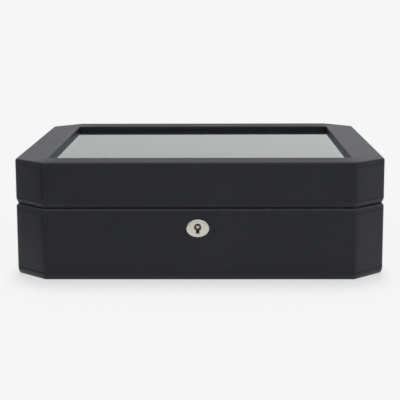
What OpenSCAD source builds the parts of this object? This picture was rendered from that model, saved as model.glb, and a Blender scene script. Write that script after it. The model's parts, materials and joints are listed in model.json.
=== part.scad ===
// Watch box with a glass lid, cut corners, a key lock and fifteen lift-out cushions.
// Origin: centre of the footprint on the table. +Z up, the lock faces -Y.

/* [Case] */
// Overall width of the box, side to side
box_w = 320; // [300:1:340]
// Overall depth of the box, front to back
box_d = 304; // [290:1:320]
// Leg of the 45 degree corner cut
corner = 26.5; // [20:0.5:32]
// Height where lid and base meet
split_z = 63; // [58:0.5:66]
// Height of the top of the lid
box_h = 102.5; // [97:0.5:105]
// Gap between the closed lid and the base
rim_gap = 0.2; // [0.1:0.05:0.4]
// Height of the felt feet
foot_h = 1; // [0.8:0.1:2]
// Thickness of the leather
skin = 1; // [0.8:0.1:1.2]
// Thickness of the wooden walls
wall = 16; // [15:0.5:17]
// Thickness of the fabric-covered lining boards
lining = 2; // [1.5:0.5:2.5]

/* [Window] */
// Width of the side rails of the top frame
rail_side = 28; // [26:0.5:29]
// Width of the front and back rails of the top frame
rail_end = 30; // [29:0.5:32]
// Depth of the glass below the top of the lid
glass_drop = 4.5; // [3:0.5:5]
// Thickness of the glass
glass_t = 3; // [2:0.5:3]

/* [Compartments] */
// Number of columns
columns = 5; // [5:1:5]
// Number of rows
rows = 3; // [3:1:3]
// Thickness of the dividers
divider_t = 3; // [2.5:0.5:3.5]
// Height of the top of the dividers
divider_z = 57; // [50:1:58]
// Length of a cushion along the strap's axis
cushion_w = 48; // [44:1:50]
// Depth of a cushion
cushion_d = 78; // [70:1:80]
// Height of a cushion
cushion_h = 48; // [42:1:50]

/* [Lock] */
// Sideways place of the lock's centre
lock_x = -1.4; // [-2:0.2:2]
// Height of the centre of the oval plate
plate_z = 46; // [43:0.5:48]
// Width of the oval plate
plate_w = 20; // [18:0.5:24]
// Height of the oval plate
plate_h = 15.5; // [14:0.5:18]
// Travel of the bolt
bolt_travel = 5; // [4:0.5:5]

/* [Hinges] */
// Distance of each hinge's middle from the centre of the box
hinge_x = 95; // [80:1:105]
// Length of a hinge
hinge_l = 40; // [35:5:45]
// Radius of the hinge barrel
barrel_r = 1.9; // [1.8:0.1:2]
// Radius of the hinge pin
hinge_pin_r = 1; // [0.8:0.1:1.1]

/* [Hidden] */
$fn = 48;
slab = 0.01;            // height of the slices that hull() joins
over = 1;               // how far a cutting solid runs past what it cuts
half_w = box_w / 2;
half_d = box_d / 2;
base_top = split_z - rim_gap / 2;
lid_bottom = split_z + rim_gap / 2;
bevel_t = 2;            // how far the edges at the groove are drawn in
base_bevel_h = 2.8;     // height of the base's drawn-in top edge
lid_bevel_h = 5.4;      // height of the lid's drawn-in bottom edge
hem_t = 1.6;            // how far the base's bottom edge is drawn in
hem_h = 4;
top_round = 1.2;        // bevel along the lid's top edge
board_in = skin + wall; // depth of a wall's inner face
inner_x = half_w - board_in;
inner_y = half_d - board_in;
room_x = inner_x - lining;
room_y = inner_y - lining;
turn_in = 18;           // width of the leather glued under the base
board_floor_t = 6;
pad_t = 3;
floor_z = foot_h + skin;
pad_z = floor_z + board_floor_t;
tray_z = pad_z + pad_t;
// Lid
win_x = half_w - rail_side;
win_y = half_d - rail_end;
glass_z = box_h - glass_drop - glass_t;
glass_lap = 4;          // how far the glass runs under the frame
rail_z = glass_z - 2;
retainer_t = 3;
retainer_z = rail_z - retainer_t;
retainer_in = 1;        // how far the retainer shows past the frame's edge
slack = 0.1;            // play around fitted pieces
// Compartments
col_pitch = (2 * room_x + divider_t) / columns;
row_pitch = (2 * room_y + divider_t) / rows;
lap_gap = 0.2;          // play in the dividers' halved joints
cushion_gap = 0.3;      // air under a cushion
// Lock
plate_t = 1.2;
key_z = plate_z + 1.2;  // height of the keyhole's round part
key_r = 3.1;
key_foot_z = plate_z - 4.4;
drill_r = 1.1;
pin_out = plate_t - 0.3;  // how far the pin stands out of the leather
lock_y = -half_d + 10;  // middle of the lock's thickness
lock_w = 44;
lock_t = 9;
lock_low_z = 34.5;
lock_wall = 1;
strip_w = 60;           // lock top plate and link plate
strip_d = 11;
strip_t = 1.2;
strip_inset = 0.1;      // both strips sit this far below their rims
strip_screw_x = 25;
hook_x = 10;
hook_w = 3;
hook_t = 1.1;
hook_foot = 3.6;
hook_foot_h = 1.6;
hook_back = -2.3;       // from the middle of the lock's thickness
hook_low_z = 53;
slot_play = 0.6;
bolt_t = 1.7;
bolt_z = 50.5;
bolt_h = 9;
prong_h = 2.4;
prong_front = -0.9;
prong_z = 55.1;
ledge_h = 2;            // rails the bolt slides on
spring_t = 0.3;
spring_reach = 7;
// Hinges
axis_y = half_d - barrel_r;
leaf_t = 1.2;
leaf_d = 12;
knuckles = 5;
knuckle_gap = 0.1;
pin_play = 0.05;
barrel_play = 0.3;
leaf_screw_x = 13;
leaf_screw_y = 8;       // from the hinge's axis
screw_r = 0.9;
screw_l = 9;
head_r = 1.9;
head_h = 1;

// ---- Outlines and forms shared by the wood and the leather ----

// Cut-cornered outline, drawn in by t on all eight sides
function outline(t) = let (x = half_w - t, y = half_d - t, c = corner - t * (2 - sqrt(2)))
    [[-x + c, -y], [x - c, -y], [x, -y + c], [x, y - c],
     [x - c, y], [-x + c, y], [-x, y - c], [-x, -y + c]];

// Solid through slices given as [height, inset]; the outline is convex, so one hull holds them all
module form(slices) {
    hull()
        for (s = slices)
            translate([0, 0, s[0] - (s == slices[0] ? 0 : slab)])
                linear_extrude(slab) polygon(outline(s[1]));
}

module base_form(t) form([[foot_h + t, hem_t + t], [foot_h + hem_h, t],
    [base_top - base_bevel_h, t], [base_top - t, bevel_t + t]]);

module lid_form(t) form([[lid_bottom + t, bevel_t + t], [lid_bottom + lid_bevel_h, t],
    [box_h - top_round - t, t], [box_h - t, top_round + t]]);

// Centred box between two heights
module block(x, y, z0, z1) translate([-x, -y, z0]) cube([2 * x, 2 * y, z1 - z0]);

// Points where the wall boards are mitred, for the front right corner
mitre_in = [inner_x, -inner_y];
mitre_front = [outline(skin)[1][0], outline(skin)[1][1]];
mitre_side = [outline(skin)[2][0], outline(skin)[2][1]];
reach = 1.6;            // the boards' cutting outlines run out past the form
function past(p) = mitre_in + reach * (p - mitre_in);
function flip_x(p) = [-p[0], p[1]];
function flip_y(p) = [p[0], -p[1]];

module front_plan() polygon([past(mitre_front), mitre_in, flip_x(mitre_in), flip_x(past(mitre_front))]);
module side_plan() polygon([past(mitre_side), mitre_in, flip_y(mitre_in), flip_y(past(mitre_side))]);
module corner_plan() polygon([past(mitre_front), past(mitre_side), mitre_in]);

module tall(z0, z1) translate([0, 0, z0]) linear_extrude(z1 - z0) children();

module all_corners() {
    children();
    mirror([1, 0, 0]) children();
    mirror([0, 1, 0]) children();
    mirror([1, 0, 0]) mirror([0, 1, 0]) children();
}

// ---- Screws ----

// Countersunk screw pointing down, with the top of its head at z = 0
module screw(r = screw_r, l = screw_l) {
    difference() {
        union() {
            translate([0, 0, -head_h]) cylinder(h = head_h, r1 = r, r2 = head_r);
            translate([0, 0, -l]) cylinder(h = l - head_h + slab, r = r);
        }
        translate([0, 0, -head_h / 2]) linear_extrude(head_h) square([2.6, 0.5], center = true);
    }
}

module screw_hole(r = screw_r, l = screw_l) {
    translate([0, 0, -head_h]) cylinder(h = head_h, r1 = r, r2 = head_r);
    translate([0, 0, -l]) cylinder(h = l, r = r);
    cylinder(h = over, r = head_r);
}

// ---- Hinges: geometry about the pin's axis ----

module at_hinges() for (x = [-hinge_x, hinge_x]) translate([x, axis_y, split_z]) children();

module barrel_piece(i, r) {
    step = hinge_l / knuckles;
    translate([-hinge_l / 2 + i * step + knuckle_gap / 2, 0, 0])
        rotate([0, 90, 0]) cylinder(h = step - knuckle_gap, r = r);
}

module leaf_screw_places()
    for (x = [-leaf_screw_x, leaf_screw_x]) translate([x, -leaf_screw_y, 0]) children();

// One leaf with the knuckles whose number has this remainder; it lies below the axis
module leaf(first) {
    leaf_top = -rim_gap / 2 - strip_inset;
    difference() {
        union() {
            translate([-hinge_l / 2, -leaf_d, leaf_top - leaf_t]) cube([hinge_l, leaf_d, leaf_t]);
            for (i = [first : 2 : knuckles - 1]) barrel_piece(i, barrel_r);
        }
        for (i = [1 - first : 2 : knuckles - 1])
            translate([-hinge_l / 2 + i * hinge_l / knuckles - knuckle_gap / 2, 0, 0])
                rotate([0, 90, 0])
                    cylinder(h = hinge_l / knuckles + knuckle_gap, r = barrel_r + barrel_play);
        rotate([0, 90, 0]) cylinder(h = hinge_l + 2 * over, r = hinge_pin_r + pin_play, center = true);
        leaf_screw_places() translate([0, 0, leaf_top]) screw_hole();
    }
}

// Room for one leaf and the barrel, below the axis
module leaf_recess() {
    leaf_top = -rim_gap / 2 - strip_inset;
    translate([-hinge_l / 2 - slack, -leaf_d - slack, leaf_top - leaf_t])
        cube([hinge_l + 2 * slack, leaf_d + slack, leaf_t + over]);
    translate([-hinge_l / 2 - slack, 0, 0])
        rotate([0, 90, 0]) cylinder(h = hinge_l + 2 * slack, r = barrel_r + barrel_play);
    translate([-hinge_l / 2 - slack, 0, -barrel_r - barrel_play])
        cube([hinge_l + 2 * slack, over + barrel_r, barrel_r + barrel_play + over]);
    leaf_screw_places() translate([0, 0, leaf_top]) screw_hole();
}

module hinge_base_leaves() color("silver") at_hinges() leaf(0);
module hinge_lid_leaves() color("silver") at_hinges() mirror([0, 0, 1]) leaf(1);
module hinge_pins() color("gainsboro") at_hinges()
    rotate([0, 90, 0]) cylinder(h = hinge_l, r = hinge_pin_r, center = true);
module hinge_base_screws() color("silver") at_hinges()
    leaf_screw_places() translate([0, 0, -rim_gap / 2 - strip_inset]) screw();
module hinge_lid_screws() color("silver") at_hinges() mirror([0, 0, 1])
    leaf_screw_places() translate([0, 0, -rim_gap / 2 - strip_inset]) screw();

// ---- Lock ----

module at_lock(z) translate([lock_x, lock_y, z]) children();
strip_top = base_top - strip_inset;
module strip_screws()
    for (x = [-strip_screw_x, strip_screw_x]) at_lock(strip_top) translate([x, 0, 0]) children();

// Keyhole: a round part over a foot that widens downwards
module keyhole(y0, y1) {
    translate([lock_x, y0, key_z]) rotate([-90, 0, 0]) cylinder(h = y1 - y0, r = key_r);
    translate([lock_x, y1, 0]) rotate([90, 0, 0]) linear_extrude(y1 - y0)
        polygon([[-1, key_z], [1, key_z], [1.6, key_foot_z], [-1.6, key_foot_z]]);
}

module strip_recess() {
    at_lock(strip_top - strip_t)
        translate([-strip_w / 2 - slack, -strip_d / 2 - slack, 0])
            cube([strip_w + 2 * slack, strip_d + 2 * slack, strip_t + over]);
    strip_screws() screw_hole();
}

module lock_recess() {
    at_lock(lock_low_z - slack)
        translate([-lock_w / 2 - slack, -lock_t / 2 - slack, 0])
            cube([lock_w + 2 * slack, lock_t + 2 * slack, base_top]);
    strip_recess();
    keyhole(-half_d - over, lock_y);
}

module mirror_at_split()
    translate([0, 0, split_z]) mirror([0, 0, 1]) translate([0, 0, -split_z]) children();

module escutcheon() color("lightgray") difference() {
    translate([lock_x, -half_d, plate_z]) rotate([90, 0, 0]) linear_extrude(plate_t)
        polygon([for (a = [0 : 7.5 : 359]) [plate_w / 2 * cos(a), plate_h / 2 * sin(a)]]);
    keyhole(-half_d - plate_t - over, -half_d + over);
}

// Open-topped case; the bolt slides on the two ledges at the back
module lock_case() color("darkgray") {
    difference() {
        at_lock(lock_low_z) translate([-lock_w / 2, -lock_t / 2, 0])
            cube([lock_w, lock_t, strip_top - strip_t - lock_low_z]);
        at_lock(lock_low_z + lock_wall) translate([-lock_w / 2 + lock_wall, -lock_t / 2 + lock_wall, 0])
            cube([lock_w - 2 * lock_wall, lock_t - 2 * lock_wall, base_top]);
        keyhole(lock_y - lock_t / 2 - over, lock_y);
    }
    for (x = [-1, 1])
        at_lock(bolt_z - 0.1 - ledge_h)
            translate([x * 14 - 7, lock_t / 2 - lock_wall - bolt_t - 0.1, 0])
            cube([14, bolt_t + 0.2, ledge_h]);
}

module drill_pin() color("silver")
    translate([lock_x, -half_d - pin_out, key_z]) rotate([-90, 0, 0])
        cylinder(h = lock_y + lock_t / 2 - lock_wall + half_d + pin_out, r = drill_r);

module lock_top_plate() color("silver") difference() {
    at_lock(strip_top - strip_t)
        translate([-strip_w / 2, -strip_d / 2, 0]) cube([strip_w, strip_d, strip_t]);
    for (x = [-hook_x, hook_x])
        at_lock(0) translate([x - hook_w / 2 - slot_play, hook_back - slot_play, 0])
            cube([hook_w + 2 * slot_play, hook_foot + 2 * slot_play, base_top + over]);
    strip_screws() screw_hole();
}

module lock_screws() color("silver") strip_screws() screw();

// Flat bar with two prongs that slide into the link plate's hooks, and a notch for the key
module lock_bolt() color("gold") {
    back = lock_t / 2 - lock_wall - 0.1;
    difference() {
        at_lock(bolt_z) translate([-18, back - bolt_t, 0]) cube([32, bolt_t, bolt_h]);
        at_lock(bolt_z - over)
            translate([-2.5, back - bolt_t - over, 0]) cube([5, bolt_t + 2 * over, over + 2]);
    }
    for (x = [-hook_x, hook_x])
        at_lock(prong_z) translate([x - 7.5, prong_front, 0]) {
            cube([3, back - bolt_t - prong_front + slab, prong_h]);
            cube([5.5, 2.2, prong_h]);
        }
}

// Bowed leaf under the top plate that keeps the bolt from drifting
module lock_spring() color("lightsteelblue") {
    sag = strip_top - strip_t - bolt_z - bolt_h - 0.2;
    r = (spring_reach * spring_reach + sag * sag) / (2 * sag);
    at_lock(bolt_z + bolt_h + 0.2 + r) translate([0, lock_t / 2 - lock_wall - bolt_t, 0])
        rotate([-90, 0, 0]) intersection() {
            difference() {
                cylinder(h = bolt_t - 0.1, r = r);
                translate([0, 0, -over]) cylinder(h = bolt_t + 2 * over, r = r - spring_t);
            }
            translate([-r, r - sag, -over]) cube([2 * r, sag + over, bolt_t + 2 * over]);
        }
}

// Striker in the lid: a strip with two hooks, each a stem with a foot
module link_plate() color("silver") {
    difference() {
        mirror_at_split() at_lock(strip_top - strip_t)
            translate([-strip_w / 2, -strip_d / 2, 0]) cube([strip_w, strip_d, strip_t]);
        mirror_at_split() strip_screws() screw_hole();
    }
    for (x = [-hook_x, hook_x]) {
        at_lock(hook_low_z) translate([x - hook_w / 2, hook_back, 0])
            cube([hook_w, hook_t, lid_bottom + strip_inset - hook_low_z + slab]);
        at_lock(hook_low_z) translate([x - hook_w / 2, hook_back, 0])
            cube([hook_w, hook_foot, hook_foot_h]);
    }
}

module link_screws() color("silver") mirror_at_split() strip_screws() screw();

// ---- Base ----

module base_wall() intersection() {
    base_form(skin);
    tall(floor_z - over, base_top) children();
}

module front_board() color("burlywood") difference() {
    base_wall() front_plan();
    lock_recess();
}
module back_board() color("burlywood") difference() {
    base_wall() mirror([0, 1, 0]) front_plan();
    at_hinges() leaf_recess();
}
module right_board() color("burlywood") base_wall() side_plan();
module left_board() color("burlywood") base_wall() mirror([1, 0, 0]) side_plan();
module base_corner_posts() color("tan") all_corners() base_wall() corner_plan();
module base_board() color("burlywood") block(inner_x, inner_y, floor_z, pad_z);

module base_leather() color("darkslategray") difference() {
    base_form(0);
    base_form(skin);
    block(inner_x, inner_y, pad_z, base_top + over);
    linear_extrude(floor_z + slab) polygon(outline(turn_in));
    lock_recess();
    at_hinges() leaf_recess();
}

module bottom_cover() color("dimgray") translate([0, 0, foot_h])
    linear_extrude(floor_z - foot_h) polygon(outline(turn_in + slack));
module feet() color("black") for (x = [-1, 1], y = [-1, 1])
    translate([x * (inner_x - 16), y * (inner_y - 16), 0]) cylinder(h = foot_h, r = 9);

// Parts a ring into four strips where its inside width is y
module part_joints(y, z0, z1) for (s = [-1, 1])
    translate([0, s * (y - slack), 0]) block(half_w, slack, z0 - over, z1 + over);

// Four boards that line a room
module lining_boards(z0, z1) difference() {
    block(inner_x, inner_y, z0, z1);
    block(room_x, room_y, z0 - over, z1 + over);
    part_joints(room_y, z0, z1);
}

module base_lining() color("slategray") lining_boards(pad_z, base_top);
module floor_pad() color("slategray") block(room_x - slack, room_y - slack, pad_z, tray_z);

// ---- Dividers and cushions ----

lap_z = (tray_z + divider_z) / 2;
module long_dividers() color("gray") for (c = [1 : columns - 1]) {
    x = -room_x - divider_t / 2 + c * col_pitch;
    difference() {
        translate([x, 0, 0]) block(divider_t / 2, room_y - slack, tray_z, divider_z);
        for (r = [1 : rows - 1])
            translate([x, -room_y - divider_t / 2 + r * row_pitch, 0])
                block(divider_t, divider_t / 2 + lap_gap / 2, lap_z, divider_z + over);
    }
}
module cross_dividers() color("gray") for (r = [1 : rows - 1]) {
    y = -room_y - divider_t / 2 + r * row_pitch;
    difference() {
        translate([0, y, 0]) block(room_x - slack, divider_t / 2, tray_z, divider_z);
        for (c = [1 : columns - 1])
            translate([-room_x - divider_t / 2 + c * col_pitch, y, 0])
                block(divider_t / 2 + lap_gap / 2, divider_t, tray_z - over, lap_z);
    }
}

// Squared oval, so that the cushion stands on a broad base
function oval(a, p, e) = p * sign(a) * pow(abs(a), 2 / e);
module cushion(row, column) color("lightslategray")
    translate([(column - (columns + 1) / 2) * col_pitch - cushion_w / 2,
            (row - (rows + 1) / 2) * row_pitch, tray_z + cushion_gap + cushion_h / 2])
        rotate([90, 0, 90]) linear_extrude(cushion_w)
            polygon([for (a = [0 : 9 : 359])
                [oval(cos(a), cushion_d / 2, 2.6), oval(sin(a), cushion_h / 2, 2.6)]]);

// ---- Lid ----

module lid_wall() intersection() {
    lid_form(skin);
    tall(lid_bottom, rail_z) children();
}
module lid_front_board() color("burlywood") difference() {
    lid_wall() front_plan();
    mirror_at_split() strip_recess();
}
module lid_back_board() color("burlywood") difference() {
    lid_wall() mirror([0, 1, 0]) front_plan();
    at_hinges() mirror([0, 0, 1]) leaf_recess();
}
module lid_right_board() color("burlywood") lid_wall() side_plan();
module lid_left_board() color("burlywood") lid_wall() mirror([1, 0, 0]) side_plan();
module lid_corner_posts() color("tan") all_corners() lid_wall() corner_plan();

// Top frame: four rails mitred from the window's corner to the middle of the corner cut
window_corner = [win_x, -win_y];
cut_middle = [half_w - corner / 2, -half_d + corner / 2];
far = 40;
module rail_end_plan() polygon([window_corner, cut_middle, cut_middle + [far, -far],
    flip_x(cut_middle + [far, -far]), flip_x(cut_middle), flip_x(window_corner)]);
module rail_side_plan() polygon([window_corner, cut_middle, cut_middle + [far, -far],
    flip_y(cut_middle + [far, -far]), flip_y(cut_middle), flip_y(window_corner)]);
glass_x = win_x + glass_lap;
glass_y = win_y + glass_lap;
module rail() difference() {
    intersection() {
        lid_form(skin);
        tall(rail_z, box_h) children();
    }
    block(win_x + skin, win_y + skin, rail_z - over, box_h + over);
    block(glass_x + 0.5, glass_y + 0.5, rail_z - over, glass_z + glass_t);
    retainer_screw_places() mirror([0, 0, 1]) screw_hole(0.8, 7);
}
module front_rail() color("burlywood") rail() rail_end_plan();
module back_rail() color("burlywood") rail() mirror([0, 1, 0]) rail_end_plan();
module right_rail() color("burlywood") rail() rail_side_plan();
module left_rail() color("burlywood") rail() mirror([1, 0, 0]) rail_side_plan();

module lid_leather() color("darkslategray") difference() {
    lid_form(0);
    difference() {
        lid_form(skin);
        block(win_x + skin, win_y + skin, glass_z + glass_t, box_h + over);
    }
    block(win_x, win_y, glass_z, box_h + over);
    block(inner_x, inner_y, lid_bottom - over, rail_z);
    mirror_at_split() strip_recess();
    at_hinges() mirror([0, 0, 1]) leaf_recess();
}
module lid_lining() color("slategray") lining_boards(lid_bottom, rail_z);
module glass_pane() color("lightblue") block(glass_x, glass_y, glass_z, glass_z + glass_t);
module glass_seal() color("black") difference() {
    block(glass_x + 0.45, glass_y + 0.45, glass_z, glass_z + glass_t);
    block(glass_x, glass_y, glass_z - over, glass_z + glass_t + over);
}

// Four rebated strips that hold the glass up
module glass_retainer() color("slategray") difference() {
    union() {
        block(room_x - slack, room_y - slack, retainer_z, rail_z);
        block(glass_x + 0.4, glass_y + 0.4, rail_z - slab, glass_z);
    }
    block(win_x - retainer_in, win_y - retainer_in, retainer_z - over, glass_z + over);
    part_joints(win_y - retainer_in, retainer_z, glass_z);
    retainer_screw_places() mirror([0, 0, 1]) screw_hole(0.8, 7);
}
module retainer_screw_places() {
    edge_x = (glass_x + room_x) / 2 + 0.15;
    edge_y = (glass_y + room_y) / 2;
    for (x = [-edge_x, edge_x], y = [-70, 70]) translate([x, y, retainer_z]) children();
    for (x = [-80, 80], y = [-edge_y, edge_y]) translate([x, y, retainer_z]) children();
}
module retainer_screws() color("silver") retainer_screw_places() mirror([0, 0, 1]) screw(0.8, 7);

// ---- What is drawn ----

base_board();
front_board();
back_board();
left_board();
right_board();
base_corner_posts();
base_leather();
bottom_cover();
feet();
base_lining();
floor_pad();
long_dividers();
cross_dividers();
escutcheon();
lock_case();
drill_pin();
lock_top_plate();
lock_spring();
lock_screws();
lock_bolt();
hinge_base_leaves();
hinge_pins();
hinge_base_screws();
lid_front_board();
lid_back_board();
lid_left_board();
lid_right_board();
lid_corner_posts();
front_rail();
back_rail();
left_rail();
right_rail();
lid_leather();
lid_lining();
glass_pane();
glass_seal();
glass_retainer();
retainer_screws();
link_plate();
link_screws();
hinge_lid_leaves();
hinge_lid_screws();
for (r = [1 : rows], c = [1 : columns])
    cushion(r, c);
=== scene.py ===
# Watch box: the visual model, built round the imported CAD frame. Units are metres.
import bpy
import bmesh
import json
import math
from mathutils import Matrix, Vector, noise
from mathutils.bvhtree import BVHTree


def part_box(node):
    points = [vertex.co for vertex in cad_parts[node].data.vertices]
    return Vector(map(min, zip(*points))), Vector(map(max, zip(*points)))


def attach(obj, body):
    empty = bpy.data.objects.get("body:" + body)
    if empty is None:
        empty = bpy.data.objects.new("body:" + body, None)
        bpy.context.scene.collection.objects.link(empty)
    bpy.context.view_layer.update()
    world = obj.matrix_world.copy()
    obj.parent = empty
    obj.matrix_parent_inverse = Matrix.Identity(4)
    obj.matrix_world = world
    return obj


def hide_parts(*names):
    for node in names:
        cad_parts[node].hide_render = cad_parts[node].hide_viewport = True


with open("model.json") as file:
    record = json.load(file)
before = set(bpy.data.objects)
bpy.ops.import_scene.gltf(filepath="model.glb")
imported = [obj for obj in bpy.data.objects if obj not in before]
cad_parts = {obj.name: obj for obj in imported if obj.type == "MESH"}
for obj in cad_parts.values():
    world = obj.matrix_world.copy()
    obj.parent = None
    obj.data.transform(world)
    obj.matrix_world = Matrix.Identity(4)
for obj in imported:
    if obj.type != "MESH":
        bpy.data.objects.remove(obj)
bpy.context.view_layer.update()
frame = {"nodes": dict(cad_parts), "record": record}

MM = 0.001

# ---- Sizes read from the frame ----
base_lo, base_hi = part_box("base_leather")
lid_lo, lid_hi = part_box("lid_leather")
lining_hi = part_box("base_lining")[1]
plate_lo, plate_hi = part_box("escutcheon")
pin_lo, pin_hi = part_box("drill_pin")

HALF_X, HALF_Y = base_hi.x, base_hi.y
CORNER = 26.5 * MM                                  # leg of the corner cut
EDGE_R = 5 * MM                                     # rounding of the upright edges
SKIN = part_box("front_board")[0].y - base_lo.y       # thickness of the leather
INNER_X, INNER_Y = lining_hi.x, lining_hi.y         # outside of the lining, inside of the leather
WIN_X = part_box("right_rail")[0].x - SKIN            # half the window's width and depth
WIN_Y = -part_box("front_rail")[1].y - SKIN
BASE_Z, BASE_TOP = base_lo.z, base_hi.z
LID_Z, LID_TOP = lid_lo.z, lid_hi.z
GLASS_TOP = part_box("glass_pane")[1].z
LOCK_X = (plate_lo.x + plate_hi.x) / 2
KEY_Z = (pin_lo.z + pin_hi.z) / 2                   # height of the keyhole's round part
STITCH_ROWS = {
    "base": (BASE_Z + 6.0 * MM, BASE_TOP - 4.4 * MM),
    "lid": (LID_Z + 5.6 * MM, LID_TOP - 3.9 * MM),
}


# ---- Materials ----

class Nodes:
    """A material's node tree, with short calls to add to it."""

    def __init__(self, name):
        self.mat = bpy.data.materials.new(name)
        self.mat.use_nodes = True
        self.tree = self.mat.node_tree
        self.shader = self.tree.nodes["Principled BSDF"]
        self.out = self.tree.nodes["Material Output"]
        self.coords = self.tree.nodes.new("ShaderNodeTexCoord").outputs["Object"]

    def add(self, kind, **inputs):
        n = self.tree.nodes.new("ShaderNode" + kind)
        for key, value in inputs.items():
            self.put(n.inputs[key.replace("_", " ")], value)
        return n

    def put(self, socket, value):
        if isinstance(value, bpy.types.NodeSocket):
            self.tree.links.new(value, socket)
        else:
            socket.default_value = value

    def noise(self, scale, detail=3.0, rough=0.5, vector=None, distort=0.0):
        n = self.add("TexNoise", Scale=scale, Detail=detail, Roughness=rough, Distortion=distort)
        self.put(n.inputs["Vector"], vector or self.coords)
        return n.outputs["Fac"]

    def cells(self, scale, feature="F1", vector=None):
        n = self.add("TexVoronoi", Scale=scale)
        n.feature = feature
        self.put(n.inputs["Vector"], vector or self.coords)
        return n.outputs["Distance"]

    def stretch(self, scale):
        n = self.add("Mapping", Vector=self.coords)
        n.inputs["Scale"].default_value = scale
        return n.outputs["Vector"]

    def ramp(self, fac, *stops):
        n = self.add("ValToRGB", Fac=fac)
        e = n.color_ramp.elements
        while len(e) < len(stops):
            e.new(0.5)
        for k, (at, colour) in enumerate(stops):
            e[k].position = at
            e[k].color = (*colour, 1) if hasattr(colour, "__len__") else (colour, colour, colour, 1)
        return n.outputs["Color"]

    def mix(self, fac, a, b, mode="MIX"):
        n = self.tree.nodes.new("ShaderNodeMix")
        n.data_type = "RGBA"
        n.blend_type = mode
        self.put(n.inputs[0], fac)
        self.put(n.inputs[6], a if isinstance(a, bpy.types.NodeSocket) else (*a, 1))
        self.put(n.inputs[7], b if isinstance(b, bpy.types.NodeSocket) else (*b, 1))
        return n.outputs[2]

    def maths(self, op, a, b=0.0):
        n = self.add("Math")
        n.operation = op
        self.put(n.inputs[0], a)
        self.put(n.inputs[1], b)
        return n.outputs[0]

    def span(self, value, lo, hi):
        """value, 0 to 1, spread over lo to hi."""
        n = self.add("MapRange", Value=value)
        n.inputs["To Min"].default_value = lo
        n.inputs["To Max"].default_value = hi
        return n.outputs["Result"]

    def bump(self, height, strength, distance, normal=None):
        n = self.add("Bump", Strength=strength, Distance=distance, Height=height)
        if normal is not None:
            self.put(n.inputs["Normal"], normal)
        return n.outputs["Normal"]

    def attribute(self, name):
        n = self.tree.nodes.new("ShaderNodeAttribute")
        n.attribute_name = name
        return n.outputs["Fac"]

    def set(self, **inputs):
        for key, value in inputs.items():
            self.put(self.shader.inputs[key.replace("_", " ")], value)
        return self.mat


def leather():
    """Fine-grained black leather; "wear_and_highlight" lightens edges, partly as wear and partly as a painted
    highlight along the base's top rim; "crossways" roughens the lid's front and back.
    """
    n = Nodes("black_leather")
    grain = n.cells(1250, "DISTANCE_TO_EDGE")
    pebble = n.ramp(grain, (0.0, 0.0), (0.12, 1.0))
    creases = n.noise(420, 4, 0.6, distort=0.6)
    pores = n.noise(2600, 2)
    broad = n.noise(22, 3)
    wear_and_highlight = n.maths("MULTIPLY", n.attribute("wear_and_highlight"), n.span(n.noise(160, 4, 0.65), 0.15, 1.0))
    tone = n.mix(broad, (0.0026, 0.0029, 0.0088), (0.0104, 0.0106, 0.0176))
    tone = n.mix(n.maths("MULTIPLY", n.maths("SUBTRACT", 1.0, pebble), 0.35), tone, (0.0022, 0.0022, 0.0034))
    # Painted highlight and wear: where "wear_and_highlight" is high, the tone is lifted towards a pale
    # blue-grey; along the base's top rim this stands in for a highlight.
    tone = n.mix(n.maths("MULTIPLY", wear_and_highlight, 0.3), tone, (0.050, 0.050, 0.056))
    rough = n.maths("ADD", n.span(broad, 0.40, 0.50), n.span(creases, -0.04, 0.06))
    rough = n.maths("SUBTRACT", rough, n.maths("MULTIPLY", wear_and_highlight, 0.06))
    rough = n.maths("ADD", rough, n.maths("MULTIPLY", n.attribute("crossways"), 0.13))
    normal = n.bump(pebble, 0.30, 0.00012)
    normal = n.bump(creases, 0.30, 0.00018, normal)
    normal = n.bump(pores, 0.10, 0.00005, normal)
    return n.set(Base_Color=tone, Roughness=rough, Normal=normal, Specular_IOR_Level=0.32)


def suede(name, dark, light, sheen):
    n = Nodes(name)
    nap = n.noise(1500, 3, 0.7)
    brushed = n.noise(48, 4, 0.6, distort=1.2)
    strokes = n.noise(150, 3, 0.6, vector=n.stretch((1, 2.6, 1.4)))
    shade = n.maths("ADD", n.maths("MULTIPLY", brushed, 0.6), n.maths("MULTIPLY", strokes, 0.4))
    tone = n.ramp(shade, (0.30, dark), (0.70, light))
    tone = n.mix(n.maths("MULTIPLY", nap, 0.25), tone, tuple(c * 0.5 for c in dark))
    normal = n.bump(nap, 0.25, 0.0002)
    normal = n.bump(strokes, 0.20, 0.0004, normal)
    return n.set(Base_Color=tone, Roughness=n.span(shade, 0.86, 0.98), Normal=normal,
                 Sheen_Weight=sheen, Sheen_Roughness=0.45, Specular_IOR_Level=0.2)


def metal(name, colour, rough, scale, stretch, bump=0.06):
    n = Nodes(name)
    brushed = n.noise(scale, 3, 0.6, vector=n.stretch(stretch))
    stains = n.noise(90, 4, 0.6)
    tone = n.mix(n.maths("MULTIPLY", stains, 0.35), colour, tuple(c * 0.72 for c in colour))
    roughness = n.maths("ADD", n.span(brushed, rough - 0.06, rough + 0.08), n.span(stains, -0.03, 0.06))
    return n.set(Base_Color=tone, Roughness=roughness, Metallic=1.0, Normal=n.bump(brushed, bump, 0.0001))


def wood():
    n = Nodes("wood_carcass")
    rings = n.noise(26, 4, 0.55, vector=n.stretch((1, 5, 14)), distort=0.9)
    pores = n.noise(900, 2, vector=n.stretch((0.2, 3, 3)))
    tone = n.ramp(rings, (0.3, (0.36, 0.23, 0.12)), (0.7, (0.58, 0.42, 0.25)))
    tone = n.mix(n.maths("MULTIPLY", pores, 0.3), tone, (0.2, 0.12, 0.06))
    return n.set(Base_Color=tone, Roughness=n.span(rings, 0.55, 0.7), Normal=n.bump(pores, 0.2, 0.0002))


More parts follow.
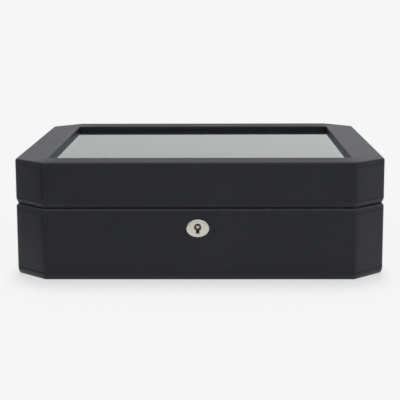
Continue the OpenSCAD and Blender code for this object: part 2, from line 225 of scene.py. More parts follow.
def felt(name, dark, light, rough):
    n = Nodes(name)
    fibres = n.noise(1100, 4, 0.75, distort=1.5)
    patches = n.noise(60, 3)
    tone = n.mix(n.maths("MULTIPLY", fibres, patches), dark, light)
    return n.set(Base_Color=tone, Roughness=n.span(patches, rough, rough + 0.06),
                 Normal=n.bump(fibres, 0.5, 0.0003))


def thread():
    n = Nodes("black_thread")
    strands = n.add("TexWave", Scale=900.0, Distortion=1.0, Vector=n.coords)
    strands.bands_direction = "DIAGONAL"
    twist = strands.outputs["Fac"]
    tone = n.mix(n.maths("MULTIPLY", twist, n.noise(300)), (0.010, 0.010, 0.012), (0.030, 0.030, 0.034))
    return n.set(Base_Color=tone, Roughness=n.span(twist, 0.45, 0.62), Normal=n.bump(twist, 0.3, 0.0001))


def clear_glass():
    """A thin pane: its two faces reflect some of the light, and the rest passes straight through."""
    n = Nodes("clear_glass")
    n.tree.nodes.remove(n.shader)
    film = n.noise(14, 4, 0.55)
    one_face = n.add("Fresnel", IOR=1.46).outputs[0]
    both_faces = n.maths("DIVIDE", n.maths("MULTIPLY", one_face, 2), n.maths("ADD", one_face, 1))
    inside = n.tree.nodes.new("ShaderNodeNewGeometry").outputs["Backfacing"]
    clear = n.add("BsdfTransparent")
    clear.inputs["Color"].default_value = (0.965, 0.975, 0.972, 1)
    gloss = n.add("BsdfGlossy", Roughness=n.span(film, 0.0, 0.03))
    gloss.inputs["Color"].default_value = (0.96, 0.97, 0.97, 1)
    both = n.tree.nodes.new("ShaderNodeMixShader")
    n.put(both.inputs[0], n.maths("MULTIPLY", both_faces, n.maths("SUBTRACT", 1, inside)))
    n.put(both.inputs[1], clear.outputs[0])
    n.put(both.inputs[2], gloss.outputs[0])
    n.put(n.out.inputs["Surface"], both.outputs[0])
    return n.mat


def floor_paint():
    """Mostly glowing by itself, so the floor stays even, with a little room for a shadow."""
    n = Nodes("studio_floor")
    return n.set(Base_Color=(0.06, 0.06, 0.06, 1), Roughness=1.0, Specular_IOR_Level=0.0,
                 Emission_Color=(1, 1, 1, 1), Emission_Strength=0.664)


MATS = {
    "black_leather": leather(),
    "suede_lining": suede("suede_lining", (0.012, 0.012, 0.014), (0.030, 0.030, 0.033), 0.25),
    "suede_cushion": suede("suede_cushion", (0.020, 0.020, 0.023), (0.050, 0.050, 0.054), 0.35),
    "satin_nickel": metal("satin_nickel", (0.66, 0.645, 0.575), 0.30, 420, (1, 1, 3)),
    "steel_fittings": metal("steel_fittings", (0.56, 0.56, 0.57), 0.32, 380, (1, 6, 6)),
    "brass_bolt": metal("brass_bolt", (0.74, 0.56, 0.27), 0.34, 380, (1, 6, 6)),
    "wood_carcass": wood(),
    "felt_underside": felt("felt_underside", (0.010, 0.010, 0.011), (0.035, 0.035, 0.038), 0.92),
    "black_rubber": felt("black_rubber", (0.012, 0.012, 0.012), (0.022, 0.022, 0.022), 0.70),
    "clear_glass": clear_glass(),
}
thread_mat = thread()


def paint(obj, mat):
    obj.data.materials.clear()
    obj.data.materials.append(mat)


def new_object(name, data):
    obj = bpy.data.objects.new(name, data)
    bpy.context.scene.collection.objects.link(obj)
    return obj


def new_mesh(name, bm):
    """The bmesh as a mesh; the bmesh is freed."""
    mesh = bpy.data.meshes.new(name)
    bm.to_mesh(mesh)
    bm.free()
    return mesh


def box_matrix(lo, hi):
    """Takes a unit cube to the box from lo to hi."""
    return Matrix.Translation((lo + hi) / 2) @ Matrix.Diagonal((*(hi - lo), 1))


def finish_mesh(obj, sharp=35):
    """Smooth shading, with edges over sharp degrees kept sharp."""
    obj.data.polygons.foreach_set("use_smooth", [True] * len(obj.data.polygons))
    obj.data.set_sharp_from_angle(angle=math.radians(sharp))


def dress(obj, body, slot, mat=None, sharp=35):
    """Makes a mesh object a smooth-shaded piece that rides on a body and takes a slot's finish."""
    finish_mesh(obj, sharp)
    paint(obj, mat or MATS[slot])
    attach(obj, body)
    return obj


def piece(name, verts, faces, body, slot, mat=None, sharp=35):
    """A new piece from points and faces."""
    mesh = bpy.data.meshes.new(name)
    mesh.from_pydata([tuple(v) for v in verts], [], faces)
    bm = bmesh.new()
    bm.from_mesh(mesh)
    bmesh.ops.recalc_face_normals(bm, faces=bm.faces)
    bm.to_mesh(mesh)
    bm.free()
    return dress(new_object(name, mesh), body, slot, mat, sharp)


def apply_modifiers(obj):
    """Replaces the object's mesh with its evaluated one."""
    dg = bpy.context.evaluated_depsgraph_get()
    made = bpy.data.meshes.new_from_object(obj.evaluated_get(dg))
    obj.modifiers.clear()
    old = obj.data
    obj.data = made
    bpy.data.meshes.remove(old)


def ring_faces(count, loops, closed, first=0):
    """Quads between successive loops of count points; closed also joins the last loop to the first."""
    faces = []
    for k in range(loops if closed else loops - 1):
        a, b = first + k * count, first + (k + 1) % loops * count
        for i in range(count):
            j = (i + 1) % count
            faces.append((a + i, a + j, b + j, b + i))
    return faces


# ---- The cut-cornered outline ----

LONG_STEPS = 44         # segments along a long side
CUT_STEPS = 4           # segments across a corner cut
ARC_STEPS = 6           # segments round each upright edge


def octagon(inset):
    """(point, outward direction) round the outline drawn in by inset, from mid-way on the front left cut."""
    x, y, c = HALF_X - inset, HALF_Y - inset, CORNER - inset * (2 - math.sqrt(2))
    corners = [Vector(p) for p in ((-x + c, -y), (x - c, -y), (x, -y + c), (x, y - c),
                                   (x - c, y), (-x + c, y), (-x, y - c), (-x, -y + c))]
    r = max(EDGE_R - inset, 0.3 * MM)
    reach = r * math.tan(math.radians(22.5))
    points = []
    for k in range(8):
        before, here, after = corners[k - 1], corners[k], corners[(k + 1) % 8]
        d0, d1 = (here - before).normalized(), (after - here).normalized()
        out = Vector((d0.y, -d0.x))
        centre = here - d0 * reach - out * r
        for s in range(ARC_STEPS + 1):
            turned = Matrix.Rotation(math.radians(45) * s / ARC_STEPS, 2) @ out
            points.append((centre + turned * r, turned))
        start, end = here + d1 * reach, after - d1 * reach
        side = Vector((d1.y, -d1.x))
        steps = CUT_STEPS if k % 2 else LONG_STEPS
        for s in range(1, steps):
            points.append((start.lerp(end, s / steps), side))
    return points[-(CUT_STEPS // 2):] + points[:-(CUT_STEPS // 2)]


REFERENCE = octagon(2 * MM)
COUNT = len(REFERENCE)


def along():
    """For each outline point, which side of a rectangle it belongs to and how far along it lies.

    A quarter of the points runs from the middle of one corner cut to the middle of the next.
    """
    shares = []
    for k in range(4):
        quarter = range(k * COUNT // 4, (k + 1) * COUNT // 4)
        steps = [(REFERENCE[(i + 1) % COUNT][0] - REFERENCE[i][0]).length for i in quarter]
        total, run = sum(steps), 0
        for s in steps:
            shares.append((k, run / total))
            run += s
    return shares


SHARES = along()


def rectangle(x, y):
    """As many points as the octagon has, round a rectangle."""
    corners = [Vector(p) for p in ((-x, -y), (x, -y), (x, y), (-x, y))]
    return [corners[k].lerp(corners[(k + 1) % 4], t) for k, t in SHARES]


# ---- Leather ----

INSIDE = -1             # value of "wear_and_highlight" for rows within the leather, which never show
EDGE_WEAR = 0.55        # wear of the upright edges


def wrap(name, profile, body, replaced):
    """A closed leather form swept through rows of ("oct", inset, z, wear and painted highlight) and ("rect",
    x, y, z, wear and painted highlight).
    """
    verts, wear_and_highlight = [], []
    for kind, *place, z, row_wear_and_highlight in profile:
        loop = [p for p, _ in octagon(*place)] if kind == "oct" else rectangle(*place)
        verts += [(p.x, p.y, z) for p in loop]
        wear_and_highlight += [row_wear_and_highlight] * COUNT
    obj = piece(name, verts, ring_faces(COUNT, len(profile), True), body, "black_leather")
    leans = [abs(out.x) for _, out in REFERENCE]
    upright = {i for i, x in enumerate(leans) if 0.01 < x < 0.999 and abs(x - math.sqrt(0.5)) > 0.02}
    # Per-point wear and painted highlight, which lightens the leather's tone.
    layer = obj.data.attributes.new("wear_and_highlight", "FLOAT", "POINT")
    shade = [max(w, EDGE_WEAR if w != INSIDE and i % COUNT in upright else 0) for i, w in enumerate(wear_and_highlight)]
    layer.data.foreach_set("value", shade)
    layer = obj.data.attributes.new("crossways", "FLOAT", "POINT")
    ends = [0 if k % 2 else min(1, 14 * min(t, 1 - t)) for k, t in SHARES]
    top = LID_TOP - 0.5 * MM
    layer.data.foreach_set("value", [ends[i % COUNT] if v[2] > top else 0 for i, v in enumerate(verts)])
    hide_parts(replaced)
    return obj


def outline_rows(z0, table):
    """Rows round the cut-cornered outline, from (inset, height above z0, wear and painted highlight) with the
    sizes in mm.
    """
    return [("oct", inset * MM, z0 + z * MM, row_wear_and_highlight) for inset, z, row_wear_and_highlight in table]


def opening_rows(x, y, z0, table):
    """Rows round a rectangle, from (distance outside x and y, height above z0, wear and painted highlight)
    with the sizes in mm.
    """
    return [("rect", x + d * MM, y + d * MM, z0 + z * MM, row_wear_and_highlight) for d, z, row_wear_and_highlight in table]


def groove(z, depth=0.36 * MM, width=0.42):
    """Rows across one line of stitching; width is in mm."""
    across = (-1.2, -0.8, -0.45, -0.2, 0, 0.2, 0.45, 0.8, 1.2)
    return [("oct", depth * math.exp(-(d / width) ** 2), z + d * MM, 0) for d in across]


def stitched_side(low, high):
    """Rows up a flat side between and across its two lines of stitching."""
    return groove(low) + [("oct", 0, low + (high - low) * k / 8, 0) for k in range(1, 8)] + groove(high)


def rounded_edge(r, top, steps=6):
    """Rows up an edge of radius r to the flat at top."""
    rows = []
    for s in range(steps, -1, -1):
        t = math.pi / 2 * s / steps
        rows.append(("oct", r * (1 - math.sin(t)), top - r + r * math.cos(t), 0.9 * math.sin(2 * t)))
    return rows


def base_profile():
    """From the underside out to the hem, up the side, over the rim, and back inside the leather."""
    hem = ((18, 0, 0), (10, 0, 0), (2.6, 0, 0), (1.9, 0.05, 0.3), (1.45, 0.3, 0.7), (1.2, 0.75, 0.9),
           (0.62, 1.9, 0.9), (0.22, 3.0, 0.7))
    # The large values round the rim paint a highlight along the base's top edge.
    rim = ((0, -2.0, 0.1), (0.1, -1.62, 1.4), (0.35, -1.35, 3.2), (0.9, -0.8, 3.4), (1.5, -0.22, 3.2),
           (1.75, -0.06, 1.4), (3.2, 0, 0))
    rows = outline_rows(BASE_Z, hem)
    rows += stitched_side(*STITCH_ROWS["base"])
    rows += outline_rows(BASE_TOP, rim)
    rows += opening_rows(INNER_X, INNER_Y, BASE_TOP, ((1.5, 0, 0), (0.3, 0, 0.4), (0, -0.3, 0.3)))
    rows += [("rect", INNER_X, INNER_Y, BASE_TOP - SKIN, INSIDE)]
    rows += [("oct", 3.2 * MM, BASE_TOP - SKIN, INSIDE), ("oct", SKIN, BASE_TOP - 3.8 * MM, INSIDE)]
    rows += [("oct", SKIN + 0.5 * MM, BASE_Z + 5 * MM, INSIDE)]
    rows += [("oct", inset * MM, BASE_Z + SKIN, INSIDE) for inset in (3.4, 18)]
    return rows


def lid_profile():
    """From the lining out under the lid, up the side, over the frame, down the window, and back inside."""
    lip = ((3.4, 0, 0), (2.4, 0.04, 0.3), (1.95, 0.22, 0.9), (1.65, 0.6, 0.8), (1.15, 1.5, 0.5),
           (0.42, 3.3, 0.3), (0.14, 4.15, 0.7), (0.02, 4.5, 0.6))
    window = ((6, 0, 0), (2.5, 0, 0), (0.9, 0, 0.3), (0.45, -0.1, 0.8), (0.12, -0.42, 0.6), (0, -0.9, 0.1))
    rows = opening_rows(INNER_X, INNER_Y, LID_Z, ((0, 0.3, 0.3), (0.3, 0, 0.4), (1.5, 0, 0)))
    rows += outline_rows(LID_Z, lip)
    rows += stitched_side(*STITCH_ROWS["lid"])
    rows += rounded_edge(1.9 * MM, LID_TOP)
    rows += outline_rows(LID_TOP, ((2.8, 0, 0), (5, 0, 0)))
    rows += opening_rows(WIN_X, WIN_Y, LID_TOP, window)
    rows += opening_rows(WIN_X, WIN_Y, GLASS_TOP, ((0, 1, 0), (0, 0.02, 0)))
    rows += [("rect", WIN_X + SKIN, WIN_Y + SKIN, z, INSIDE) for z in (GLASS_TOP + 0.02 * MM, LID_TOP - SKIN)]
    rows += [("oct", 3 * MM, LID_TOP - SKIN, INSIDE), ("oct", SKIN, LID_TOP - 2.9 * MM, INSIDE)]
    rows += [("oct", SKIN, LID_Z + 6.4 * MM, INSIDE), ("oct", 3.4 * MM, LID_Z + SKIN, INSIDE)]
    rows += [("rect", INNER_X, INNER_Y, LID_Z + SKIN, INSIDE)]
    return rows


def carve(obj, cutters):
    """Cuts boxes, and rods that lie along y, out of a mesh."""
    tools = []
    for kind, lo, hi in cutters:
        bm = bmesh.new()
        if kind == "box":
            bmesh.ops.create_cube(bm, size=1, matrix=box_matrix(lo, hi))
        else:
            r, place = (hi - lo).z / 2, Matrix.Translation((lo + hi) / 2)
            bmesh.ops.create_cone(bm, segments=32, radius1=r, radius2=r, depth=(hi - lo).y, cap_ends=True,
                                  matrix=place @ Matrix.Rotation(math.pi / 2, 4, "X"))
        tool = new_object("cutter", new_mesh("cutter", bm))
        tools.append(tool)
        m = obj.modifiers.new("cut", "BOOLEAN")
        m.object, m.operation, m.solver = tool, "DIFFERENCE", "EXACT"
    apply_modifiers(obj)
    for tool in tools:
        bpy.data.objects.remove(tool)
    finish_mesh(obj)


HINGE_LENGTH, HINGE_PLAY = 40 * MM, 0.2 * MM
BARREL_INSET, BARREL_ROOM = 1.9 * MM, 2.2 * MM      # the pin's distance from the back, and the cut round it
LEAF_ROOM = 1.6 * MM


def hinge_cutters(node, up):
    """Room for the two leaves and the barrel of each hinge."""
    lo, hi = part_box(node)
    axis_y, axis_z = hi.y - BARREL_INSET, frame["record"]["behaviour"]["joints"][0]["pos_m"][2]
    leaf_z = (axis_z, axis_z + LEAF_ROOM) if up else (axis_z - LEAF_ROOM, axis_z)
    cutters = []
    for x in (lo.x, hi.x - HINGE_LENGTH):
        x0, x1 = x - HINGE_PLAY, x + HINGE_LENGTH + HINGE_PLAY
        cutters.append(("box", Vector((x0, lo.y - HINGE_PLAY, leaf_z[0])), Vector((x1, axis_y, leaf_z[1]))))
        cutters.append(("box", Vector((x0, axis_y - BARREL_ROOM, axis_z - BARREL_ROOM)),
                        Vector((x1, HALF_Y + 1 * MM, axis_z + BARREL_ROOM))))
    return cutters


def key_cutter(kind, half, below, above):
    """A hole through the front leather, from below to above the middle of the keyhole."""
    return (kind, Vector((LOCK_X - half, -HALF_Y - 2 * MM, KEY_Z - below)),
            Vector((LOCK_X + half, -HALF_Y + 3 * MM, KEY_Z + above)))


base_wrap = wrap("base_leather_wrap", base_profile(), "base", "base_leather")
strip_lo, strip_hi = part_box("lock_top_plate")
strip_room = Vector((0.15, 0.15, 0.8)) * MM
carve(base_wrap, [("box", strip_lo - strip_room, strip_hi + strip_room),
                  key_cutter("rod", 3.4 * MM, 3.4 * MM, 3.4 * MM),
                  key_cutter("box", 1.9 * MM, 5.9 * MM, 0)] + hinge_cutters("hinge_base_leaves", False))

lid_wrap = wrap("lid_leather_wrap", lid_profile(), "lid", "lid_leather")
link_lo, link_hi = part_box("link_plate")
link_room = (Vector((link_lo.x - 0.15 * MM, link_lo.y - 0.15 * MM, LID_Z - 1 * MM)),
             link_hi + Vector((0.15, 0.15, 0.1)) * MM)
carve(lid_wrap, [("box", *link_room)] + hinge_cutters("hinge_lid_leaves", True))


# ---- Stitching ----

STITCH_GAP, STITCH_R = 1.0 * MM, 0.4 * MM
STITCH_PITCH = {"base": (3.78 * MM, 3.78 * MM), "lid": (3.78 * MM, 3.55 * MM)}      # lower and upper row


def stitches(name, body):
    """Every stitch is a short arched thread whose ends go into the leather."""
    rings, sides = 7, 6
    loop = octagon(0.2 * MM)
    verts, faces = [], []
    for z, pitch in zip(STITCH_ROWS[body], STITCH_PITCH[body]):
        run = [0.0]
        for i in range(COUNT):
            run.append(run[-1] + (loop[(i + 1) % COUNT][0] - loop[i][0]).length)
        count = round(run[-1] / pitch)
        half = (pitch - STITCH_GAP) / 2
        seg = 0
        for s in range(count):
            at = (s + 0.5) * run[-1] / count
            while run[seg + 1] < at:
                seg += 1
            t = (at - run[seg]) / (run[seg + 1] - run[seg])
            a, b = loop[seg], loop[(seg + 1) % COUNT]
            p, out = a[0].lerp(b[0], t), a[1].lerp(b[1], t).normalized()
            jitter = noise.noise((at * 900, z * 400, 3.0))
            way = Vector((-out.y, out.x, 0.10 + 0.05 * jitter)).normalized()
            outward = Vector((out.x, out.y, 0))
            side = way.cross(outward)
            middle = Vector((p.x, p.y, z + 0.05 * MM * jitter))
            first = len(verts)
            for k in range(rings):
                u = -1 + 2 * k / (rings - 1)
                r = STITCH_R * (1 - 0.5 * u ** 4)
                core = middle + way * (u * half) + outward * ((0.05 - 0.36 * u ** 4) * MM)
                for i in range(sides):
                    q = 2 * math.pi * i / sides
                    verts.append(core + outward * (r * math.cos(q)) + side * (r * math.sin(q)))
            faces += ring_faces(sides, rings, False, first)
            faces.append(tuple(first + i for i in range(sides)))
            faces.append(tuple(first + (rings - 1) * sides + i for i in range(sides)))
    return piece(name, verts, faces, body, "black_leather", thread_mat, sharp=60)


stitches("base_stitching", "base")
stitches("lid_stitching", "lid")


# ---- Lock plate ----

KEYHOLE_R = 3.1 * MM                    # the keyhole's round part
KEY_FOOT, KEY_WAIST = 5.6 * MM, 1.0 * MM    # its slot: how far down it goes, and half its width at the top
KEY_SLOPE = 0.6 / 5.6                   # how fast the slot widens downwards


def lock_plate():
    """A slightly domed oval with rounded rims round the oval and the keyhole."""
    steps = 160
    a, b = (plate_hi.x - plate_lo.x) / 2, (plate_hi.z - plate_lo.z) / 2
    centre_z = (plate_lo.z + plate_hi.z) / 2
    rise, thick = KEY_Z - centre_z, plate_hi.y - plate_lo.y

    def hole(q):
        """Distance from the keyhole's centre to its edge."""
        dx, dz = math.cos(q), math.sin(q)
        r = KEYHOLE_R
        if dz < 0:
            lean = abs(dx) / -dz
            depth = KEY_FOOT if lean <= KEY_SLOPE else min(KEY_FOOT, KEY_WAIST / (lean - KEY_SLOPE))
            r = max(r, depth * math.hypot(1, lean))
        return r

    def rim(q, less):
        """Distance from the keyhole's centre to the oval drawn in by less."""
        dx, dz = math.cos(q), math.sin(q)
        p, s = a - less, b - less
        aa, bb, cc = (dx / p) ** 2 + (dz / s) ** 2, 2 * rise * dz / s ** 2, (rise / s) ** 2 - 1
        return (-bb + math.sqrt(bb * bb - 4 * aa * cc)) / (2 * aa)

    lip, edge = 0.2 * MM, 1.0 * MM      # widths of the two rounded rims
    rows = [("hole", 0, 0.02 * MM), ("hole", 0, thick - 0.22 * MM), ("hole", 0.06 * MM, thick - 0.07 * MM)]
    rows += [("hole", lip, thick)]
    rows += [("face", f, thick - 0.10 * MM * f * f) for f in (0.15, 0.4, 0.65, 0.85)]
    rows += [("oval", edge, thick - 0.14 * MM), ("oval", 0.6 * MM, thick - 0.25 * MM)]
    rows += [("oval", 0.28 * MM, thick - 0.48 * MM), ("oval", 0.07 * MM, thick - 0.8 * MM)]
    rows += [("oval", 0, 0.25 * MM), ("oval", 0, 0.02 * MM)]
    verts = []
    for kind, value, y in rows:
        for i in range(steps):
            q = 2 * math.pi * (i + 0.5) / steps
            if kind == "hole":
                r = hole(q) + value
            elif kind == "oval":
                r = rim(q, value)
            else:
                r = (hole(q) + lip) * (1 - value) + rim(q, edge) * value
            verts.append((LOCK_X + r * math.cos(q), -HALF_Y - y, KEY_Z + r * math.sin(q)))
    faces = ring_faces(steps, len(rows), True)
    obj = piece("lock_plate_oval", verts, faces, "base", "satin_nickel", sharp=50)
    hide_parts("escutcheon")


lock_plate()


# ---- Lining boards and dividers ----

def soft_board(name, lo, hi, body, round_r, cells=12):
    """A fabric-covered board with rounded edges and a slightly uneven upper edge."""
    size = hi - lo
    bm = bmesh.new()
    bmesh.ops.create_cube(bm, size=1, matrix=box_matrix(lo, hi))
    bmesh.ops.bevel(bm, geom=bm.edges[:], offset=min(round_r, min(size) * 0.48), segments=4, profile=0.5,
                    affect="EDGES")
    axis = 0 if size.x > size.y else 1
    for k in range(1, cells):
        place, normal = Vector((0, 0, 0)), Vector((0, 0, 0))
        place[axis], normal[axis] = lo[axis] + size[axis] * k / cells, 1
        bmesh.ops.bisect_plane(bm, geom=bm.verts[:] + bm.edges[:] + bm.faces[:], plane_co=place,
                               plane_no=normal)
    for v in bm.verts:
        if v.co.z > lo.z + size.z * 0.9:
            v.co.z += 0.25 * MM * (noise.noise(v.co * 40) - 0.3)
    bm.normal_update()
    return dress(new_object(name, new_mesh(name, bm)), body, "suede_lining", sharp=50)


LINING_T, LINING_ROUND = 2 * MM, 0.7 * MM
DIVIDER_T, DIVIDER_ROUND = 3 * MM, 1.35 * MM
ROWS, COLUMNS = 3, 5


def ring_boards(prefix, node, body):
    """Four lining boards in the place of a ring of them."""
    lo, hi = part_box(node)
    t = LINING_T
    spans = {
        "front": (lo, Vector((hi.x, lo.y + t, hi.z))),
        "back": (Vector((lo.x, hi.y - t, lo.z)), hi),
        "left": (Vector((lo.x, lo.y + t, lo.z)), Vector((lo.x + t, hi.y - t, hi.z))),
        "right": (Vector((hi.x - t, lo.y + t, lo.z)), Vector((hi.x, hi.y - t, hi.z))),
    }
    boards = [soft_board(f"{prefix}_{side}", *span, body, LINING_ROUND) for side, span in spans.items()]
    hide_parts(node)


def dividers(prefix, node, axis, starts):
    """Parallel divider boards across an axis, in the place of one node."""
    lo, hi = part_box(node)
    for k, start in enumerate(starts):
        a, b = lo.copy(), hi.copy()
        a[axis], b[axis] = start, start + DIVIDER_T
        soft_board(f"{prefix}_{k + 1}", a, b, "base", DIVIDER_ROUND)
    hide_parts(node)


ring_boards("base_lining_board", "base_lining", "base")
ring_boards("lid_lining_board", "lid_lining", "lid")

long_lo, long_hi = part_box("long_dividers")
cross_lo, cross_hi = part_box("cross_dividers")
column_pitch = (long_hi.x - long_lo.x - DIVIDER_T) / (COLUMNS - 2)
dividers("long_divider", "long_dividers", 0, [long_lo.x + k * column_pitch for k in range(COLUMNS - 1)])
dividers("cross_divider", "cross_dividers", 1, [cross_lo.y, cross_hi.y - DIVIDER_T])


# ---- Cushions ----

SWELL = Vector((2.4, 3.6, 3.4)) * MM    # room for the cloth to swell into
MOVE_CAP = 3.0 * MM                     # how far a point of the cloth may move
SEAM_INSET, SEAM_WIDTH = 3.2 * MM, 1.5 * MM
WELT_R = 0.75 * MM


def start_form(size, seed):
    """Squared oval roll with its axis along x, a little smaller than the finished cushion."""
    steps, loops, half, power = 48, 9, size / 2, 2 / 2.6
    verts = []
    for k in range(loops):
        x = half.x * (-1 + 2 * k / (loops - 1))
        for i in range(steps):
            q = 2 * math.pi * i / steps
            y = half.y * math.copysign(abs(math.cos(q)) ** power, math.cos(q))
            z = half.z * math.copysign(abs(math.sin(q)) ** power, math.sin(q))
            lump = 1 + 0.012 * noise.noise((x * 30 + seed * 7, y * 30, z * 30))
            verts.append((x, y * lump, z * lump))
    faces = ring_faces(steps, loops, False)
    faces.append(tuple(range(steps))[::-1])
    faces.append(tuple((loops - 1) * steps + i for i in range(steps)))
    mesh = bpy.data.meshes.new("cushion_form")
    mesh.from_pydata(verts, [], faces)
    return new_object("cushion_form", mesh)


def swollen(size, seed):
    """Mesh of one stuffed cushion, centred on its box, and the x of its end seams.

    Cloth swells under pressure, then the seams are drawn in and the ends and the bottom kept to the box.
    """
    small = size - SWELL
    obj = start_form(small, seed)
    m = obj.modifiers.new("remesh", "REMESH")
    m.mode, m.voxel_size = "VOXEL", 2.6 * MM
    apply_modifiers(obj)
    rest = [v.co.copy() for v in obj.data.vertices]
    cloth = obj.modifiers.new("cloth", "CLOTH")
    cloth.settings.use_pressure = True
    cloth.settings.uniform_pressure_force = 4 + seed
    cloth.settings.effector_weights.gravity = 0
    scene = bpy.context.scene
    for f in range(1, 21):
        scene.frame_set(f)
    apply_modifiers(obj)
    scene.frame_set(1)
    half, seam_x = size / 2, small.x / 2 - SEAM_INSET
    reach = half.x + 0.6 * MM
    for v, before in zip(obj.data.vertices, rest):
        move = v.co - before
        if move.length > MOVE_CAP:
            move *= MOVE_CAP / move.length
        p = before + move
        seam = math.exp(-((abs(p.x) - seam_x) / SEAM_WIDTH) ** 2)
        p.y, p.z = p.y * (1 - 0.035 * seam), p.z * (1 - 0.05 * seam)
        p.x = max(-reach, min(reach, p.x))
        p.z = max(p.z, -half.z)
        v.co = p
    m = obj.modifiers.new("smooth", "SUBSURF")
    m.levels = m.render_levels = 1
    apply_modifiers(obj)
    mesh = obj.data
    bpy.data.objects.remove(obj)
    return mesh, seam_x


def piping(mesh, x):
    """Welt that follows the cushion's surface round both end seams, as points and faces."""
    bm = bmesh.new()
    bm.from_mesh(mesh)
    tree = BVHTree.FromBMesh(bm)
    bm.free()
    verts, faces = [], []
    steps, sides = 96, 8
    for end in (-x, x):
        core = []
        for i in range(steps):
            q = 2 * math.pi * i / steps
            core.append(tree.ray_cast(Vector((end, 0, 0)), Vector((0, math.cos(q), math.sin(q))))[0])
        faces += ring_faces(sides, steps, True, len(verts))
        for i in range(steps):
            tangent = (core[(i + 1) % steps] - core[i - 1]).normalized()
            out = Vector((1, 0, 0)).cross(tangent).normalized()
            for k in range(sides):
                q = 2 * math.pi * k / sides
                verts.append(core[i] + out * (WELT_R * math.cos(q)) + Vector((WELT_R * math.sin(q), 0, 0)))
    return verts, faces


cushion_lo, cushion_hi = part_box("cushion_1_1")
FORMS = []
for seed in range(3):
    form, seam_x = swollen(cushion_hi - cushion_lo, seed)
    FORMS.append((form, piping(form, seam_x)))

for r in range(1, ROWS + 1):
    for c in range(1, COLUMNS + 1):
        name = f"cushion_{r}_{c}"
        lo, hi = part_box(name)
        centre = (lo + hi) / 2
        form, (welt_verts, welt_faces) = FORMS[(r * 2 + c) % len(FORMS)]
        turn = -1 if (r + c) % 2 else 1             # every other cushion is turned round
        mesh = form.copy()
        mesh.transform(Matrix.Translation(centre) @ Matrix.Diagonal((turn, turn, 1, 1)))
        pad = dress(new_object(f"watch_{name}", mesh), name, "suede_cushion", sharp=60)
        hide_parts(name)
        points = [Vector((v.x * turn, v.y * turn, v.z)) + centre for v in welt_verts]
        points = [Vector((p.x, p.y, max(p.z, lo.z))) for p in points]
        piece(f"welt_{r}_{c}", points, welt_faces, name, "suede_cushion", sharp=60)


# ---- Materials of the CAD nodes that stay ----

slots = {s["node"]: s["material_slot"] for s in frame["record"]["subparts"]}
for node, slot in slots.items():
    obj = frame["nodes"][node]
    if not obj.hide_render:
        paint(obj, MATS[slot])

# ---- Floor, light and camera ----

bpy.ops.mesh.primitive_plane_add(size=240, location=(0, 60, 0))
floor = bpy.context.object
floor.name = "studio_floor"
paint(floor, floor_paint())

DOME_RADIUS, DOME_GLOW = 18, 0.92       # small enough for a camera that sees only 20 m far
LAMP_HEIGHTS = (68, 77, 86)             # degrees above the horizon, behind the box
LAMP_ENERGY, LAMP_ANGLE = 3.64, 11      # of each lamp; the angle is in degrees
CARD_CENTRE = Vector((-0.26, -0.31, 0.04))
CARD_HALF_Y, CARD_HALF_Z = 0.24, 0.13   # how far the card reaches from its centre


def backdrop():
    """A pale dome beyond the floor, for the camera only, so low views have no dark horizon."""
    bpy.ops.mesh.primitive_uv_sphere_add(segments=48, ring_count=24, radius=DOME_RADIUS)
    dome = bpy.context.object
    dome.name = "studio_backdrop"
    n = Nodes("backdrop_paint")
    paint(dome, n.set(Base_Color=(0, 0, 0, 1), Specular_IOR_Level=0.0,
                      Emission_Color=(1, 1, 1, 1), Emission_Strength=DOME_GLOW))
    dome.visible_diffuse = dome.visible_glossy = dome.visible_shadow = dome.visible_transmission = False


def light_strip():
    """Lamps in a row behind and above the box, on the floor only, for a short shadow in front of it."""
    lit = bpy.data.collections.new("lit_floor")
    lit.objects.link(floor)
    for elevation in LAMP_HEIGHTS:
        lamp = bpy.data.lights.new(f"strip_{elevation}", "SUN")
        lamp.energy, lamp.angle = LAMP_ENERGY, math.radians(LAMP_ANGLE)
        obj = new_object(lamp.name, lamp)
        obj.rotation_euler = (math.radians(elevation - 90), 0, 0)
        obj.light_linking.receiver_collection = lit


def dark_card():
    """A soft-edged dark card left of the box, seen only in gloss, which deepens the left cut corner."""
    mesh = bpy.data.meshes.new("dark_card")
    y, low, high = CARD_HALF_Y, -CARD_CENTRE.z, CARD_HALF_Z
    mesh.from_pydata([(0, -y, low), (0, y, low), (0, y, high), (0, -y, high)], [], [(0, 1, 2, 3)])
    card = new_object("dark_card", mesh)
    card.location = CARD_CENTRE
    n = Nodes("card_paint")
    spot = n.add("TexGradient", Vector=n.stretch((1, 1 / CARD_HALF_Y, 1 / CARD_HALF_Z)))
    spot.gradient_type = "SPHERICAL"
    cover = n.ramp(spot.outputs["Fac"], (0.0, 0.0), (0.45, 1.0))
    paint(card, n.set(Base_Color=(0.02, 0.02, 0.02, 1), Roughness=1.0, Specular_IOR_Level=0.0, Alpha=cover))
    card.visible_camera = card.visible_diffuse = card.visible_shadow = card.visible_transmission = False


backdrop()
light_strip()
dark_card()


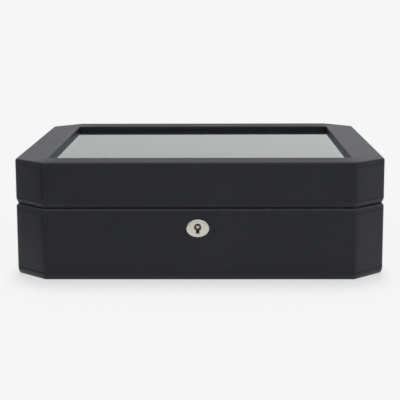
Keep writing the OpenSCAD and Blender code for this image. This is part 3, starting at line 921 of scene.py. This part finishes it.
def sky():
    """Even studio light: white near the horizon, softer behind the box, bright overhead."""
    world = bpy.data.worlds.new("studio")
    bpy.context.scene.world = world
    world.use_nodes = True
    t = world.node_tree
    t.nodes.clear()
    link = t.links.new
    split = t.nodes.new("ShaderNodeSeparateXYZ")
    link(t.nodes.new("ShaderNodeTexCoord").outputs["Generated"], split.inputs[0])

    def ramp(axis, lo, stops):
        """Brightness along one axis of the direction, whose value runs from lo to 1."""
        place = t.nodes.new("ShaderNodeMapRange")
        place.inputs["From Min"].default_value = lo
        link(split.outputs[axis], place.inputs["Value"])
        n = t.nodes.new("ShaderNodeValToRGB")
        e = n.color_ramp.elements
        while len(e) < len(stops):
            e.new(0.5)
        for k, (at, v) in enumerate(stops):
            e[k].position, e[k].color = (at - lo) / (1 - lo), (v, v, v, 1)
        link(place.outputs["Result"], n.inputs["Fac"])
        return n.outputs["Color"]

    def times(a, b):
        n = t.nodes.new("ShaderNodeMath")
        n.operation = "MULTIPLY"
        link(a, n.inputs[0])
        link(b, n.inputs[1])
        return n.outputs[0]

    height = ramp("Z", 0, ((0.0, 0.90), (0.03, 0.85), (0.08, 0.72), (0.22, 0.80), (0.5, 1.25), (1.0, 1.5)))
    sides = ramp("X", -1, ((-1.0, 0.08), (-0.45, 0.80), (-0.1, 0.94), (0.2, 1.08), (0.5, 0.95), (1.0, 0.42)))
    depth = ramp("Y", -1, ((-1.0, 0.75), (-0.6, 1.30), (-0.2, 1.0), (1.0, 1.22)))
    back, out = t.nodes.new("ShaderNodeBackground"), t.nodes.new("ShaderNodeOutputWorld")
    link(times(height, times(sides, depth)), back.inputs["Strength"])
    link(back.outputs[0], out.inputs["Surface"])


sky()

# The camera was fitted to the photo's outline, window and gap.
FOCAL_PX, IMAGE_PX, SENSOR = 1182.6, 400, 36
CAMERA_PLACE = (0.0142, -1.1384, 0.2431)
CAMERA_YAW, CAMERA_PITCH, CAMERA_ROLL = (math.radians(a) for a in (0.789, 9.925, -0.19))

camera_data = bpy.data.cameras.new("camera")
camera_data.sensor_width = SENSOR
camera_data.lens = FOCAL_PX * SENSOR / IMAGE_PX
camera_data.clip_end = 500
camera = new_object("camera", camera_data)
turn = Matrix.Rotation(CAMERA_YAW, 4, "Z")
tilt = Matrix.Rotation(math.pi / 2 - CAMERA_PITCH, 4, "X")
roll = Matrix.Rotation(CAMERA_ROLL, 4, "Z")
camera.matrix_world = Matrix.Translation(CAMERA_PLACE) @ turn @ tilt @ roll
bpy.context.scene.camera = camera
bpy.context.scene.view_settings.view_transform = "Standard"
